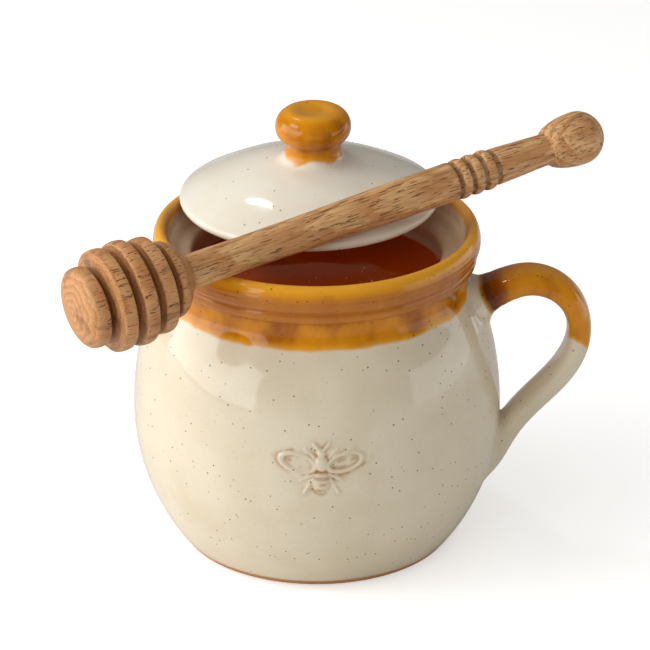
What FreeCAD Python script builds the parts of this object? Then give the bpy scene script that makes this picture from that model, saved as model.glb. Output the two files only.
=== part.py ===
"""Stoneware honey pot: a one-handled pot with its lid drawn back, honey and a turned wooden dipper.

Millimetres, +Z up. The origin is the centre of the pot's flat foot, on the pot's own axis.
The handle points along +X. The lid lies on the back of the rim, towards +Y, and the dipper
lies across the front left of the rim and the front of the lid.
"""
import FreeCAD
import Part
import math
import os

V = FreeCAD.Vector
Z_AXIS = V(0, 0, 1)

# Pot: the thrown body
FOOT_R = 38.0            # radius of the foot, just above its bevel
FOOT_BEVEL = 0.8         # small bevel round the flat unglazed foot
BELLY_R = 52.0           # largest radius
BELLY_Z = 39.0           # height of the largest radius
SHOULDER_SWEEP_R = 92.0  # radius of the upper belly's arc
SHOULDER_Z = 66.0        # where the upper belly starts to turn in to the neck
NECK_R = 42.2            # narrowest radius, under the collar bead
NECK_Z = 79.2
WALL = 5.0               # wall of the belly
FLOOR = 6.0              # thickness of the floor
FLOOR_FILLET = 7.0       # inside corner between floor and wall

# Pot: collar bead and rolled rim
BEAD_R = 44.6            # low bead under the rim
BEAD_Z = 84.4
BEAD_UNDER_R = 43.7      # its lower edge, which overhangs the neck a little
BEAD_UNDER_Z = 82.9
GROOVE_R = 44.3          # fine turned groove between bead and rim
GROOVE_Z = 86.0
RIM_R = 45.6             # outside of the rolled rim
RIM_Z = 89.8
RIM_TOP = 93.9           # crest of the rim
RIM_CREST_R = 43.4
MOUTH_R = 41.3           # inside of the rim
GALLERY_R = 38.2         # seat for the lid, a ledge inside the rim
GALLERY_Z = 86.6
THROAT_R = 34.9          # rounded lip of the ledge
THROAT_WALL_R = 35.6     # throat just under the lip
HONEY_Z = 78.5           # level of the honey
MENISCUS = 0.6           # how far the honey climbs the wall
MENISCUS_REACH = 1.6     # over what width it climbs

# Handle: a pulled strap, wide at the shoulder and narrow at the belly
# Its path lies in the plane y = 0, from inside the shoulder's wall to inside the belly's.
HANDLE_PATH = [(41.0, 68.4), (50.4, 73.9), (59.7, 76.8), (68.0, 74.1), (73.2, 66.5),
               (73.2, 57.0), (68.3, 47.8), (60.3, 39.0), (53.8, 30.0), (50.3, 22.8),
               (46.4, 17.8), (42.6, 15.0)]
STRAP_HALF_THICK = 3.4
STRAP_HALF_WIDTH_TOP = 7.5
STRAP_HALF_WIDTH_END = 5.2
ROOT_FLARE_THICK = 3.4   # extra half thickness where the strap meets the shoulder
ROOT_FLARE_WIDTH = 2.0
ROOT_FLARE_SHARE = 0.065  # share of the strap's length over which the flare fades
TAIL_HALF_THICK = 2.7    # the strap thins where it is pressed onto the belly
TAIL_FROM = 0.80         # share of the length where it starts to thin
STRAP_SQUARENESS = 2.6   # exponent of the strap's rounded section
STRAP_STATIONS = 20
SECTION_POINTS = 12
UPPER_ROOT_FILLET = 2.0
LOWER_ROOT_FILLET = 1.0

# Lid, in its own frame: axis Z, origin at the centre of its lip
LID_R = 36.7
LIP_HALF = 1.5           # half thickness of the rounded lip
LIP_TURN = 62.0          # degrees above level where the lip runs into the dome
DOME_TOP = 12.6          # height of the dome where the knob grows out of it
DOME_THICK = 3.4
KNOB_BASE_R = 8.7
KNOB_WAIST_R = 7.9
KNOB_WAIST_Z = 14.6
KNOB_R = 10.65
KNOB_Z = 21.0
KNOB_TOP = 26.0
DIMPLE_R = 5.4
DIMPLE_DEPTH = 0.7
KNOB_FILLET = 1.6
KNOB_OFF_CENTRE = 1.2    # the knob stands a little towards the handle
LID_AT = V(-2.0, 16.6, 95.56)
LID_TIP_BACK = 1.0       # degrees, back edge up
LID_ROLL = 0.5           # degrees, handle side up

# Dipper, along its own axis from the tip of the head to the end knob
DISC_RADII = [10.95, 14.0, 14.3, 13.2, 10.6]
TIP_DISC_END = 6.05      # back of the first disc
DISC_PITCH = 6.36
DISC_THICK = 3.9
DISC_EDGE = 0.7          # rounding of each disc's edge
DISC_BULGE = 0.15        # how far a disc's rim swells between its edges
GROOVE_FLOOR_R = 6.6
GROOVE_SLOPE = 0.7       # how far each wall of a groove leans
TIP_DOME = 3.0           # how far the domed tip stands out of the first disc
ROD_R_HEAD = 4.85
ROD_R_COLLAR = 5.5
ROD_START = 34.35        # where the head's last slope has run into the rod
COLLAR_START = 118.75    # first fine groove of the beaded collar
COLLAR_BEADS = 3
BEAD_PITCH = 4.15
BEAD_RADIUS = 5.7
BEAD_GROOVE_R = 4.8      # bottom of the fine grooves between the collar's beads
BEAD_CUT = 0.9           # half width of such a groove
GRIP_NECK_R = 4.5
GRIP_NECK_AT = 149.55
GRIP_KNOB_R = 7.6
GRIP_KNOB_LENGTH = 18.3
GRIP_WIDEST = 0.6        # share of the knob's length where it is widest
DIPPER_AT = V(-34.68, -42.16, 97.40)   # point of the axis where the rod leaves the head
DIPPER_YAW = 30.41
DIPPER_PITCH = 6.06


def p(r, z):
    """A point of a profile: radius and height."""
    return V(r, 0, z)


def line(a, b):
    """Straight edge between two profile points."""
    return Part.LineSegment(a, b).toShape()


def arc(a, mid, b):
    """Circular edge through three profile points."""
    return Part.Arc(a, mid, b).toShape()


def bezier(*poles):
    """Smooth edge with the given poles; the first and last lie on it."""
    curve = Part.BezierCurve()
    curve.setPoles(list(poles))
    return curve.toShape()


def turned(edges):
    """Solid turned about Z from a closed profile."""
    return Part.Face(Part.Wire(edges)).revolve(V(0, 0, 0), Z_AXIS, 360)


def belly_radius(z, inset=0.0):
    """Radius of the body below the shoulder, from its two arcs, less the inset."""
    if z < BELLY_Z:
        rise = FOOT_R - BELLY_R
        sweep = -(rise * rise + BELLY_Z * BELLY_Z) / (2 * rise)
    else:
        sweep = SHOULDER_SWEEP_R
    return BELLY_R - sweep + math.sqrt((sweep - inset) ** 2 - (z - BELLY_Z) ** 2)


def belly_arcs(z_low, z_high, inset):
    """The two arcs of the belly between two heights."""
    low, mid, high = belly_radius(z_low, inset), BELLY_R - inset, belly_radius(z_high, inset)
    z_a, z_b = (z_low + BELLY_Z) / 2, (z_high + BELLY_Z) / 2
    return [arc(p(low, z_low), p(belly_radius(z_a, inset), z_a), p(mid, BELLY_Z)),
            arc(p(mid, BELLY_Z), p(belly_radius(z_b, inset), z_b), p(high, z_high))]


def body_outside():
    """The pot's outside with no hollow: foot, belly, shoulder, collar bead and rim."""
    bevel_r = FOOT_R - FOOT_BEVEL
    shoulder_r = belly_radius(SHOULDER_Z)
    bead_under = p(BEAD_UNDER_R, BEAD_UNDER_Z)
    bead_over = p(GROOVE_R, GROOVE_Z)
    edges = [line(p(0, 0), p(bevel_r, 0)),
             line(p(bevel_r, 0), p(belly_radius(FOOT_BEVEL), FOOT_BEVEL))]
    edges += belly_arcs(FOOT_BEVEL, SHOULDER_Z, 0.0)
    edges += [bezier(p(shoulder_r, SHOULDER_Z), p(shoulder_r - 1.6, SHOULDER_Z + 5.2),
                     p(NECK_R, NECK_Z - 3.6), p(NECK_R, NECK_Z)),
              bezier(p(NECK_R, NECK_Z), p(NECK_R, NECK_Z + 2.4),
                     p(BEAD_UNDER_R - 1.2, BEAD_UNDER_Z - 0.3), bead_under),
              arc(bead_under, p(BEAD_R, BEAD_Z), bead_over),
              bezier(bead_over, p(GROOVE_R + 0.6, GROOVE_Z + 0.5), p(RIM_R + 0.1, RIM_Z - 2.4),
                     p(RIM_R, RIM_Z)),
              bezier(p(RIM_R, RIM_Z), p(RIM_R - 0.1, RIM_Z + 2.6), p(RIM_CREST_R + 1.2, RIM_TOP),
                     p(RIM_CREST_R, RIM_TOP)),
              line(p(RIM_CREST_R, RIM_TOP), p(0, RIM_TOP)),
              line(p(0, RIM_TOP), p(0, 0))]
    return turned(edges)


def hollow():
    """The space inside: floor, belly, throat, gallery for the lid and flared mouth."""
    floor_r = belly_radius(FLOOR, WALL)
    top_z = SHOULDER_Z - 1.0
    top_r = belly_radius(top_z, WALL)
    edges = [line(p(0, FLOOR), p(floor_r, FLOOR))]
    edges += belly_arcs(FLOOR, top_z, WALL)
    edges += [bezier(p(top_r, top_z), p(top_r - 1.8, top_z + 5.0),
                     p(THROAT_WALL_R, HONEY_Z - 7.0), p(THROAT_WALL_R, HONEY_Z - 2.0)),
              line(p(THROAT_WALL_R, HONEY_Z - 2.0), p(THROAT_WALL_R, HONEY_Z + 3.5)),
              bezier(p(THROAT_WALL_R, HONEY_Z + 3.5), p(THROAT_R - 0.6, GALLERY_Z - 2.2),
                     p(THROAT_R - 0.2, GALLERY_Z - 0.2), p(THROAT_R + 1.4, GALLERY_Z - 0.2)),
              line(p(THROAT_R + 1.4, GALLERY_Z - 0.2), p(GALLERY_R - 1.0, GALLERY_Z)),
              bezier(p(GALLERY_R - 1.0, GALLERY_Z), p(GALLERY_R + 0.6, GALLERY_Z),
                     p(GALLERY_R + 0.9, GALLERY_Z + 1.6), p(MOUTH_R - 0.5, RIM_Z - 0.4)),
              bezier(p(MOUTH_R - 0.5, RIM_Z - 0.4), p(MOUTH_R + 0.5, RIM_Z + 1.4),
                     p(MOUTH_R + 0.5, RIM_TOP), p(RIM_CREST_R, RIM_TOP)),
              line(p(RIM_CREST_R, RIM_TOP), p(RIM_CREST_R, RIM_TOP + 5)),
              line(p(RIM_CREST_R, RIM_TOP + 5), p(0, RIM_TOP + 5)),
              line(p(0, RIM_TOP + 5), p(0, FLOOR))]
    solid = turned(edges)
    corner = [e for e in solid.Edges
              if abs(e.BoundBox.ZMin - FLOOR) < 1e-6 and abs(e.BoundBox.ZMax - FLOOR) < 1e-6
              and e.BoundBox.XMax > floor_r - 0.1]
    return solid.makeFillet(FLOOR_FILLET, corner[:1])


def strap_section(centre, tangent, half_thick, half_width):
    """Rounded section of the strap, square to its path. Its width lies along Y."""
    normal = V(-tangent.z, 0, tangent.x)
    power = 2.0 / STRAP_SQUARENESS
    points = []
    for i in range(SECTION_POINTS):
        angle = 2 * math.pi * (i + 0.5) / SECTION_POINTS
        c, s = math.cos(angle), math.sin(angle)
        across = half_thick * math.copysign(abs(c) ** power, c)
        along = half_width * math.copysign(abs(s) ** power, s)
        points.append(centre + normal * across + V(0, along, 0))
    curve = Part.BSplineCurve()
    curve.interpolate(points, PeriodicFlag=True)
    return Part.Wire(curve.toShape())


def strap():
    """The handle's strap, lofted through sections along its path, both ends in the wall."""
    path = Part.BSplineCurve()
    path.interpolate([V(x, 0, z) for x, z in HANDLE_PATH])
    length = path.length()
    sections = []
    for i in range(STRAP_STATIONS):
        share = i / (STRAP_STATIONS - 1)
        at = path.parameterAtDistance(share * length, path.FirstParameter)
        tangent = V(*path.tangent(at)[0])
        flare = math.exp(-share / ROOT_FLARE_SHARE)
        tail = max(0.0, (share - TAIL_FROM) / (1 - TAIL_FROM))
        half_thick = (STRAP_HALF_THICK + ROOT_FLARE_THICK * flare
                      + (TAIL_HALF_THICK - STRAP_HALF_THICK) * tail)
        half_width = (STRAP_HALF_WIDTH_TOP + ROOT_FLARE_WIDTH * flare
                      + (STRAP_HALF_WIDTH_END - STRAP_HALF_WIDTH_TOP) * share)
        sections.append(strap_section(path.value(at), tangent, half_thick, half_width))
    return Part.makeLoft(sections, True, False)


def filleted(solid, edges, radius):
    """Round the edges, and say so where the radius can't be made."""
    try:
        rounded = solid.makeFillet(radius, edges)
        if rounded.isValid() and len(rounded.Solids) == 1:
            return rounded
    except Part.OCCError:
        pass
    print("left sharp:", len(edges), "edges at radius", radius)
    return solid


def root_edges(solid, z_low, z_high):
    """Edges between strap and body whose middle lies between two heights."""
    reach = BELLY_R + 2 * STRAP_HALF_THICK
    found = []
    for edge in solid.Edges:
        box, middle = edge.BoundBox, edge.CenterOfMass
        beside_strap = box.XMin > FOOT_R and box.YLength > 1
        on_body = math.hypot(middle.x, middle.y) < reach
        if beside_strap and on_body and z_low < middle.z < z_high:
            found.append(edge)
    return found


def pot():
    """Body and handle in one piece of fired clay."""
    body = body_outside().fuse(strap())
    body = filleted(body, root_edges(body, BELLY_Z, BEAD_Z), UPPER_ROOT_FILLET)
    body = filleted(body, root_edges(body, 0, BELLY_Z), LOWER_ROOT_FILLET)
    return body.cut(hollow())


def honey():
    """Honey up to its level, filling the inside, with its edge drawn up the wall."""
    flat_r = THROAT_WALL_R - MENISCUS_REACH
    top = HONEY_Z + MENISCUS
    air = turned([line(p(0, HONEY_Z), p(flat_r, HONEY_Z)),
                  bezier(p(flat_r, HONEY_Z), p(THROAT_WALL_R - 0.4, HONEY_Z),
                         p(THROAT_WALL_R, top)),
                  line(p(THROAT_WALL_R, top), p(BELLY_R, top)),
                  line(p(BELLY_R, top), p(BELLY_R, RIM_TOP + 10)),
                  line(p(BELLY_R, RIM_TOP + 10), p(0, RIM_TOP + 10)),
                  line(p(0, RIM_TOP + 10), p(0, HONEY_Z))])
    return hollow().cut(air)


def lid_dome():
    """Dome of the lid with its rounded lip and hollow underside."""
    lip_r = LID_R - LIP_HALF
    turn = math.radians(LIP_TURN)
    lip_end = p(lip_r + LIP_HALF * math.cos(turn), LIP_HALF * math.sin(turn))
    toward = p(-math.sin(turn), math.cos(turn))
    under_top = DOME_TOP - DOME_THICK - 0.6
    edges = [bezier(p(0, under_top), p(18, under_top), p(30.5, -LIP_HALF + 2.2),
                    p(lip_r - 2.0, -LIP_HALF)),
             line(p(lip_r - 2.0, -LIP_HALF), p(lip_r, -LIP_HALF)),
             arc(p(lip_r, -LIP_HALF), p(LID_R, 0), lip_end),
             bezier(lip_end, lip_end + toward * 9.0, p(17.0, DOME_TOP - 1.0), p(0, DOME_TOP)),
             line(p(0, DOME_TOP), p(0, under_top))]
    return turned(edges)


def lid_knob():
    """Waisted knob with a shallow dimple on top, rooted inside the dome."""
    root_z = DOME_TOP - 2.0
    edges = [line(p(0, root_z), p(KNOB_BASE_R, root_z)),
             bezier(p(KNOB_BASE_R, root_z), p(KNOB_BASE_R - 0.3, DOME_TOP),
                    p(KNOB_WAIST_R, KNOB_WAIST_Z - 1.6), p(KNOB_WAIST_R, KNOB_WAIST_Z)),
             bezier(p(KNOB_WAIST_R, KNOB_WAIST_Z), p(KNOB_WAIST_R, KNOB_WAIST_Z + 2.8),
                    p(KNOB_R, KNOB_Z - 3.6), p(KNOB_R, KNOB_Z)),
             bezier(p(KNOB_R, KNOB_Z), p(KNOB_R, KNOB_Z + 3.0),
                    p(DIMPLE_R + 3.0, KNOB_TOP), p(DIMPLE_R + 0.6, KNOB_TOP)),
             bezier(p(DIMPLE_R + 0.6, KNOB_TOP), p(DIMPLE_R - 1.2, KNOB_TOP),
                    p(DIMPLE_R - 1.4, KNOB_TOP - DIMPLE_DEPTH), p(0, KNOB_TOP - DIMPLE_DEPTH)),
             line(p(0, KNOB_TOP - DIMPLE_DEPTH), p(0, root_z))]
    knob = turned(edges)
    knob.translate(V(KNOB_OFF_CENTRE, 0, 0))
    return knob


def knob_foot(solid):
    """Edges where the knob grows out of the dome."""
    found = []
    for edge in solid.Edges:
        middle, box = edge.CenterOfMass, edge.BoundBox
        round_knob = abs(box.XLength / 2 - KNOB_BASE_R) < 1
        if round_knob and DOME_TOP - 2 < middle.z < DOME_TOP:
            found.append(edge)
    return found


def lid():
    """Domed lid and knob in one piece, laid back on the rim."""
    solid = lid_dome().fuse(lid_knob())
    solid = filleted(solid, knob_foot(solid), KNOB_FILLET)
    solid.rotate(V(0, 0, 0), V(1, 0, 0), LID_TIP_BACK)
    solid.rotate(V(0, 0, 0), V(0, 1, 0), -LID_ROLL)
    solid.translate(LID_AT)
    return solid


def groove(radius, end, following, start):
    """Outline from one disc's rim into the groove behind it and out to the next disc's rim."""
    floor_from, floor_to = end + GROOVE_SLOPE, start - GROOVE_SLOPE
    return [bezier(p(radius, end - DISC_EDGE), p(radius, end), p(radius - DISC_EDGE, end)),
            line(p(radius - DISC_EDGE, end), p(GROOVE_FLOOR_R, floor_from)),
            line(p(GROOVE_FLOOR_R, floor_from), p(GROOVE_FLOOR_R, floor_to)),
            line(p(GROOVE_FLOOR_R, floor_to), p(following - DISC_EDGE, start)),
            bezier(p(following - DISC_EDGE, start), p(following, start),
                   p(following, start + DISC_EDGE))]


def head_outline():
    """The head: a domed tip, then disc after disc with a groove between each two."""
    r = DISC_RADII[0]
    edges = [bezier(p(0, 0), p(r * 0.55, 0.1), p(r - 0.6, TIP_DOME - 2.2), p(r, TIP_DOME))]
    z = TIP_DOME
    for i, following in enumerate(DISC_RADII[1:]):
        radius = DISC_RADII[i]
        end = TIP_DISC_END + i * DISC_PITCH
        start = end + DISC_PITCH - DISC_THICK
        middle = (z + end - DISC_EDGE) / 2
        edges.append(arc(p(radius, z), p(radius + DISC_BULGE, middle), p(radius, end - DISC_EDGE)))
        edges += groove(radius, end, following, start)
        z = start + DISC_EDGE
    last = DISC_RADII[-1]
    edges.append(bezier(p(last, z), p(last, z + 2.6), p(ROD_R_HEAD + 1.5, ROD_START - 1.5),
                        p(ROD_R_HEAD, ROD_START)))
    return edges


def collar_outline():
    """Turned beads round the rod, with a groove before, between and after them."""
    edges = []
    before = p(ROD_R_COLLAR, COLLAR_START - BEAD_CUT)
    for i in range(COLLAR_BEADS + 1):
        z = COLLAR_START + i * BEAD_PITCH
        last = i == COLLAR_BEADS
        after = p(BEAD_RADIUS - (0.55 if last else 0.25), z + BEAD_CUT)
        floor = p(BEAD_GROOVE_R, z)
        edges += [bezier(before, floor - p(0, BEAD_CUT * 0.7), floor),
                  bezier(floor, floor + p(0, BEAD_CUT * 0.7), after)]
        if not last:
            before = after + p(0, BEAD_PITCH - 2 * BEAD_CUT)
            edges.append(arc(after, p(BEAD_RADIUS, z + BEAD_PITCH / 2), before))
    return edges, after


def dipper_profile():
    """Half outline of the dipper, radius against distance from the tip of its head."""
    collar, grip_from = collar_outline()
    knob_z = GRIP_NECK_AT + GRIP_KNOB_LENGTH * GRIP_WIDEST
    end_z = GRIP_NECK_AT + GRIP_KNOB_LENGTH
    edges = head_outline()
    edges.append(bezier(p(ROD_R_HEAD, ROD_START), p(ROD_R_HEAD - 0.5, ROD_START + 25),
                        p(ROD_R_COLLAR - 0.2, COLLAR_START - 35),
                        p(ROD_R_COLLAR, COLLAR_START - BEAD_CUT)))
    edges += collar
    edges += [bezier(grip_from, grip_from + p(0, 4), p(GRIP_NECK_R, GRIP_NECK_AT - 4),
                     p(GRIP_NECK_R, GRIP_NECK_AT)),
              bezier(p(GRIP_NECK_R, GRIP_NECK_AT), p(GRIP_KNOB_R - 1.0, GRIP_NECK_AT + 1.2),
                     p(GRIP_KNOB_R, knob_z - 4), p(GRIP_KNOB_R, knob_z)),
              bezier(p(GRIP_KNOB_R, knob_z), p(GRIP_KNOB_R, end_z - 3.4),
                     p(GRIP_KNOB_R * 0.55, end_z), p(0, end_z)),
              line(p(0, end_z), p(0, 0))]
    return edges


def dipper():
    """The wooden dipper, turned in one piece and laid across rim and lid."""
    solid = turned(dipper_profile())
    solid.translate(V(0, 0, -ROD_START))
    solid.rotate(V(0, 0, 0), V(0, 1, 0), 90 - DIPPER_PITCH)
    solid.rotate(V(0, 0, 0), V(0, 0, 1), DIPPER_YAW)
    solid.translate(DIPPER_AT)
    return solid


def main():
    os.makedirs("parts", exist_ok=True)
    for name, make in (("pot", pot), ("lid", lid), ("honey", honey), ("dipper", dipper)):
        shape = make()
        solids = shape.Solids
        shape = solids[0] if len(solids) == 1 else shape
        box = shape.BoundBox
        print(name, "solids", len(solids), "valid", shape.isValid(), "volume cm3",
              round(shape.Volume / 1000, 2), "box", [round(v, 1) for v in
              (box.XMin, box.YMin, box.ZMin, box.XMax, box.YMax, box.ZMax)])
        shape.exportStep("parts/" + name + ".step")


main()
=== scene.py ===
# %% [markdown]
# # A stoneware honey pot
# The pot is one piece of thrown clay with a pulled handle. Its lid is drawn back, it holds
# honey, and a turned wooden dipper lies across rim and lid. The construction is loaded first
# as a fixed frame in metres. Every piece below is made in that frame, at its true place, so
# that nothing has to be moved, turned or scaled afterwards.

# %% Load the frame
import math
import bpy
import numpy as np
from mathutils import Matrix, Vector


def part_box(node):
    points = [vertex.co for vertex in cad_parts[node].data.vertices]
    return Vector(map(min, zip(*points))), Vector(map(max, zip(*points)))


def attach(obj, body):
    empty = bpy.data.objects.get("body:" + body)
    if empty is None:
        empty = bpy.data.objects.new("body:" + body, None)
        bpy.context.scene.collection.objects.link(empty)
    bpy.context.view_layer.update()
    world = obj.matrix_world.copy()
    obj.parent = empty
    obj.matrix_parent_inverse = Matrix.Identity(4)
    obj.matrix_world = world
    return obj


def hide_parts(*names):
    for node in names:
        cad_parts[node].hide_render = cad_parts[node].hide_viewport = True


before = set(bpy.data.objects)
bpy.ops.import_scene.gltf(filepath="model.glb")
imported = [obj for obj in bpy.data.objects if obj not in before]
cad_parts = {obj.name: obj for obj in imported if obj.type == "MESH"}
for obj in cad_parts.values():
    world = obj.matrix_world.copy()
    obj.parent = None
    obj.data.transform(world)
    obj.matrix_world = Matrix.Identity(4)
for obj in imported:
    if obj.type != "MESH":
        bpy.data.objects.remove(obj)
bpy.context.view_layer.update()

MM = 0.001
scene = bpy.context.scene

# %% [markdown]
# ## From grid to piece
# Each piece is a surface of two parameters: one runs along a profile, the other round it.
# Blender's Spin or Screw could turn a drawn line as well. A grid of points worked out as one
# array is used instead, because the clay's unevenness, the relief and the values that the
# finishes read then come from the same sums. A face lies between four neighbours, the
# columns close into a ring, and one point closes each end, so no hole or seam is left.

# %% Faces of a closed grid
def grid_faces(rows, columns):
    """Faces between the points of a grid whose columns close into a ring, and a fan of
    triangles at each end, round the two poles that follow the grid's own points."""
    index = np.arange(rows * columns).reshape(rows, columns)
    after = np.roll(index, -1, axis=1)
    quads = np.stack([index[:-1], after[:-1], after[1:], index[1:]], axis=-1).reshape(-1, 4)
    first, last = np.full(columns, rows * columns), np.full(columns, rows * columns + 1)
    fans = np.concatenate([np.stack([first, after[0], index[0]], axis=-1),
                           np.stack([last, index[-1], after[-1]], axis=-1)])
    return quads, fans


print("a grid of 3 rows and 4 columns has", *(len(faces) for faces in grid_faces(3, 4)), "quads and triangles")


# %% Mesh from whole arrays
def mesh_piece(name, points, quads, fans):
    """Object at the origin whose mesh is filled with whole arrays of points and faces."""
    mesh = bpy.data.meshes.new(name)
    mesh.vertices.add(len(points))
    mesh.vertices.foreach_set("co", points.astype(np.float32).ravel())
    corners = np.concatenate([quads.ravel(), fans.ravel()]).astype(np.int32)
    mesh.loops.add(len(corners))
    mesh.loops.foreach_set("vertex_index", corners)
    sizes = np.repeat([4, 3], [len(quads), len(fans)]).astype(np.int32)
    mesh.polygons.add(len(sizes))
    mesh.polygons.foreach_set("loop_start", (np.cumsum(sizes) - sizes).astype(np.int32))
    mesh.polygons.foreach_set("loop_total", sizes)
    mesh.update(calc_edges=True)
    mesh.validate()
    mesh.shade_smooth()
    piece = bpy.data.objects.new(name, mesh)
    scene.collection.objects.link(piece)
    print(name, "points", len(points), "triangles", 2 * len(quads) + len(fans))
    return piece


# %% [markdown]
# A finish often has to know something about the clay, such as how far a spot lies above the
# glaze line. A texture painted by hand could hold that. Here each value is stored on the
# points, as an attribute, because the shape's own sums already know it exactly.

# %% Grid piece with values on its points
def grid_piece(name, grid, poles, values=None):
    """Closed piece from grid[row, column] and its two poles. A value is one number, or one
    vector, for each point of the grid, and a pole takes the mean of its ring."""
    points = np.concatenate([grid.reshape(-1, 3), np.reshape(poles, (2, 3))])
    piece = mesh_piece(name, points, *grid_faces(*grid.shape[:2]))
    for key, value in (values or {}).items():
        width = 3 if value.ndim == 3 else 1
        ends = [np.mean(value[end].reshape(-1, width), axis=0, keepdims=True) for end in (0, -1)]
        flat = np.concatenate([value.reshape(-1, width)] + ends).astype(np.float32)
        kind, field = ("FLOAT_VECTOR", "vector") if width == 3 else ("FLOAT", "value")
        piece.data.attributes.new(key, kind, "POINT").data.foreach_set(field, flat.ravel())
    return piece


print("the pole of a ring with values 1, 2 and 6 gets", np.mean([1, 2, 6]))

# %% [markdown]
# ## The body's outline
# The body is thrown on a wheel, so one outline turned about the axis gives it. The lower
# belly is one arc, the upper belly a wider one, then the wall turns in to the neck and out
# again over a thin bead and a rolled rim. Inside, a ledge carries the lid. The outline could
# be a curve drawn by hand. It is put together from Bezier runs between named sizes, so that
# each size of the pot stands in one place and can be changed there.

# %% Bezier runs
def bezier(poles, count):
    """Points of a Bezier curve: each pole weighted by its Bernstein polynomial."""
    poles = np.array(poles, float)
    share = np.linspace(0, 1, count)[:, None]
    order = len(poles) - 1
    return sum(math.comb(order, i) * share ** i * (1 - share) ** (order - i) * poles[i]
               for i in range(order + 1))


print("middle of a run", bezier([(0, 0), (1, 2), (2, 0)], 3)[1])

# %% Sizes of the body, in millimetres
pot_low, pot_high = (np.array(corner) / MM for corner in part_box("pot"))
BELLY_R, BELLY_Z = -pot_low[0], 39.0
FOOT_R = 38.0
UPPER_SWEEP = 92.0
LOWER_SWEEP = ((BELLY_R - FOOT_R) ** 2 + BELLY_Z ** 2) / (2 * (BELLY_R - FOOT_R))
SHOULDER_Z = 66.0
NECK_R, NECK_Z = 42.2, 79.2
BEAD_R, BEAD_Z = 44.6, 84.4
BEAD_UNDER_R, BEAD_UNDER_Z = 43.7, 82.9
GROOVE_R, GROOVE_Z = 44.3, 86.0
RIM_TOP = pot_high[2]
RIM_R, RIM_Z, RIM_CREST_R = 45.6, 89.8, 43.4
MOUTH_R, GALLERY_R, GALLERY_Z = 41.3, 38.2, 86.6
THROAT_R, THROAT_WALL_R = 34.9, 35.6
HONEY_Z = 78.5
FLOOR_Z = 6.0
FOOT = [(12, 0), (24, 0), (33, 0), (36.6, 0), (37.2, 0), (37.9, 0.5)]
HOLLOW = [(38.0, 70.0), (46.0, 55.0), (47.0, 39.0), (44.0, 24.0), (36.0, 9.0), (27.0, FLOOR_Z), (12.0, FLOOR_Z)]
print("belly", round(2 * BELLY_R, 1), "mm across, rim", round(RIM_TOP, 1), "mm high")


# %% Outside of the body
def belly_radius(z):
    """Two arcs that meet at the belly: radius = belly - sweep + root(sweep squared - height squared)."""
    sweep = np.where(z < BELLY_Z, LOWER_SWEEP, UPPER_SWEEP)
    return BELLY_R - sweep + np.sqrt(np.maximum(sweep ** 2 - (z - BELLY_Z) ** 2, 0))


def outside_outline(belly_rows):
    """Outline (radius, height) from the foot to the rim's crest: the belly's two arcs, then
    Bezier runs through neck, bead and rim."""
    shoulder_r = float(belly_radius(np.array(SHOULDER_Z)))
    belly = np.stack([belly_radius(belly_rows), belly_rows], axis=-1)
    under, over = (BEAD_UNDER_R, BEAD_UNDER_Z), (GROOVE_R, GROOVE_Z)
    return np.concatenate([
        np.array(FOOT), belly,
        bezier([(shoulder_r, SHOULDER_Z), (shoulder_r - 1.6, SHOULDER_Z + 5.2),
                (NECK_R, NECK_Z - 3.6), (NECK_R, NECK_Z)], 26)[1:],
        bezier([(NECK_R, NECK_Z), (NECK_R, NECK_Z + 2.4),
                (BEAD_UNDER_R - 1.2, BEAD_UNDER_Z - 0.3), under], 14)[1:],
        bezier([under, (BEAD_R + 0.15, BEAD_UNDER_Z + 0.5), (BEAD_R + 0.25, BEAD_Z + 0.5), over], 14)[1:],
        bezier([over, (GROOVE_R + 0.6, GROOVE_Z + 0.5), (RIM_R + 0.1, RIM_Z - 2.4),
                (RIM_R, RIM_Z)], 22)[1:],
        bezier([(RIM_R, RIM_Z), (RIM_R - 0.1, RIM_Z + 2.6), (RIM_CREST_R + 1.2, RIM_TOP),
                (RIM_CREST_R, RIM_TOP)], 18)[1:]])


print("foot", round(float(belly_radius(0.0)), 2), "mm, shoulder", round(float(belly_radius(SHOULDER_Z)), 2), "mm")


# %% Inside of the body
def inside_outline():
    """Outline (radius, height) from the rim's crest, over the ledge and down the throat to the floor."""
    mouth = (MOUTH_R - 0.5, RIM_Z - 0.4)
    return np.concatenate([
        bezier([(RIM_CREST_R, RIM_TOP), (MOUTH_R + 0.5, RIM_TOP), (MOUTH_R + 0.5, RIM_Z + 1.4), mouth], 16)[1:],
        bezier([mouth, (GALLERY_R + 0.9, GALLERY_Z + 1.6),
                (GALLERY_R + 0.6, GALLERY_Z), (GALLERY_R - 1.0, GALLERY_Z)], 9)[1:],
        bezier([(THROAT_R + 1.4, GALLERY_Z - 0.2), (THROAT_R - 0.2, GALLERY_Z - 0.2),
                (THROAT_R - 0.6, GALLERY_Z - 2.2), (THROAT_WALL_R, HONEY_Z + 3.5)], 12),
        np.array([(THROAT_WALL_R, HONEY_Z + 1.5), (THROAT_WALL_R, HONEY_Z - 2.0)] + HOLLOW)])


inside = inside_outline()
print("inside points", len(inside), "lowest", inside[-1])

# %% [markdown]
# The bee on the belly is small, so the grid has to be finer there. More rows and columns
# everywhere would make a heavy mesh. Steps that crowd near the bee, and a little near the
# handle, put the points where they are needed.

# %% Rows and columns of the body
def crowded(low, high, count, centres):
    """Steps from low to high that crowd near each centre: (place, width, weight)."""
    fine = np.linspace(low, high, 4000)
    density = 1 + sum(weight * np.exp(-((fine - place) / width) ** 4) for place, width, weight in centres)
    total = np.concatenate([[0], np.cumsum((density[1:] + density[:-1]) / 2)])
    return np.interp(np.linspace(0, total[-1], count), total, fine)


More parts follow.
